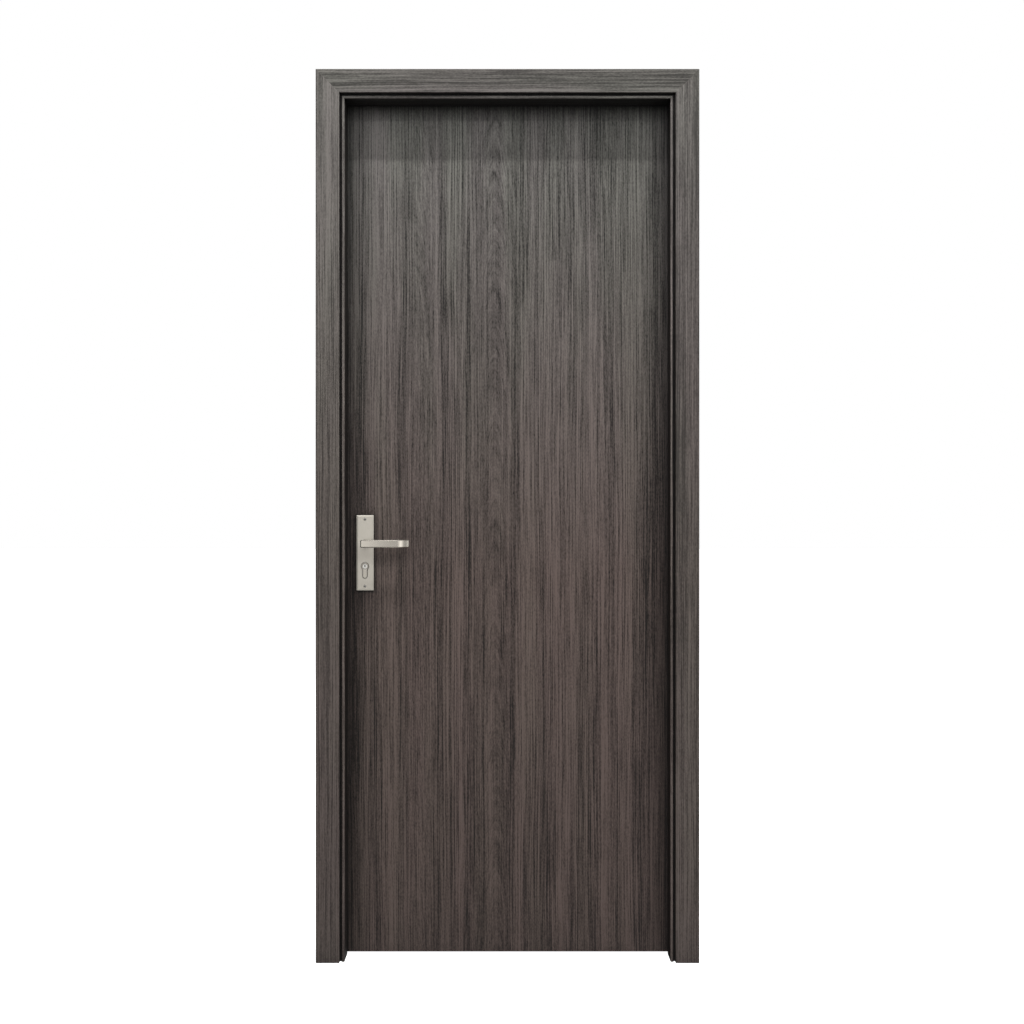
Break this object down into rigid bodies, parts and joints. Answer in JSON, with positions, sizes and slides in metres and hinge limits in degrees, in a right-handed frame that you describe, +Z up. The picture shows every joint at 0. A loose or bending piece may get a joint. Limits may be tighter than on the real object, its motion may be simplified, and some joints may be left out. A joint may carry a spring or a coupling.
{
  "type": "flush hollow core door with frame",
  "caption": "Flush veneered hollow core door in its frame with planted stops and mitred casings, lever handles on long plates, profile cylinder lock and butt hinges.",
  "frame": {"origin": "on the hinge jamb's outer face, which is fixed to the wall, at floor level and halfway through the frame's depth", "axes": "+Z up, +Y through the wall from the push side to the pull side where the hinge knuckles are, +X out of the hinge jamb into the wall, so the doorway lies towards -X"},
  "size_m": [0.984, 0.177, 2.242],
  "materials": {
    "frame_veneer": "satin",
    "casing_veneer": "satin",
    "leaf_veneer": "satin",
    "leaf_edge_veneer": "satin",
    "leaf_timber": "matte",
    "core_paper": "matte",
    "seal_rubber": "matte",
    "hinge_steel": "satin",
    "strike_steel": "satin",
    "lock_steel": "satin",
    "cylinder_nickel": "satin",
    "handle_nickel": "satin",
    "spindle_steel": "matte"
  },
  "bodies": {
    "frame": {"jamb_latch_side": "frame_veneer", "jamb_hinge_side": "frame_veneer", "jamb_head": "frame_veneer", "stop_latch_side": "frame_veneer", "stop_hinge_side": "frame_veneer", "stop_head": "frame_veneer", "push_casing_latch_side": "casing_veneer", "push_casing_hinge_side": "casing_veneer", "push_casing_head": "casing_veneer", "pull_casing_latch_side": "casing_veneer", "pull_casing_hinge_side": "casing_veneer", "pull_casing_head": "casing_veneer", "seal_latch_side": "seal_rubber", "seal_hinge_side": "seal_rubber", "seal_head": "seal_rubber", "strike_plate": "strike_steel", "upper_hinge_frame_half": "hinge_steel", "upper_hinge_pin": "hinge_steel", "middle_hinge_frame_half": "hinge_steel", "middle_hinge_pin": "hinge_steel", "lower_hinge_frame_half": "hinge_steel", "lower_hinge_pin": "hinge_steel"},
    "leaf": {"push_side_skin": "leaf_veneer", "pull_side_skin": "leaf_veneer", "latch_stile": "leaf_edge_veneer", "hinge_stile": "leaf_edge_veneer", "top_rail": "leaf_edge_veneer", "bottom_rail": "leaf_edge_veneer", "lock_block": "leaf_timber", "paper_core": "core_paper", "upper_hinge_leaf_half": "hinge_steel", "middle_hinge_leaf_half": "hinge_steel", "lower_hinge_leaf_half": "hinge_steel", "lock_case": "lock_steel", "lock_forend": "lock_steel", "latch_bolt": "lock_steel", "dead_bolt": "lock_steel", "cylinder_body": "cylinder_nickel", "push_side_plate": "handle_nickel", "pull_side_plate": "handle_nickel"},
    "levers": {"push_side_lever": "handle_nickel", "pull_side_lever": "handle_nickel", "lever_spindle": "spindle_steel", "lock_follower": "lock_steel"},
    "push_side_plug": {"push_side_key_plug": "cylinder_nickel"},
    "pull_side_plug": {"pull_side_key_plug": "cylinder_nickel"}
  },
  "joints": [
    {"name": "leaf_swing", "type": "hinge", "parent": "frame", "child": "leaf", "pos_m": [-0.029, 0.062, 0], "axis": [0, 0, -1], "range_deg": [0, 170]},
    {"name": "lever_turn", "type": "hinge", "parent": "leaf", "child": "levers", "pos_m": [-0.812, 0.035, 1.044], "axis": [0, 1, 0], "range_deg": [0, 45], "stiffness_Nm_per_rad": 1.5, "springref_deg": -34.38},
    {"name": "push_key_turn", "type": "hinge", "parent": "leaf", "child": "push_side_plug", "pos_m": [-0.812, 0.02, 0.986], "axis": [0, 1, 0], "continuous": true},
    {"name": "pull_key_turn", "type": "hinge", "parent": "leaf", "child": "pull_side_plug", "pos_m": [-0.812, 0.05, 0.986], "axis": [0, 1, 0], "continuous": true}
  ]
}
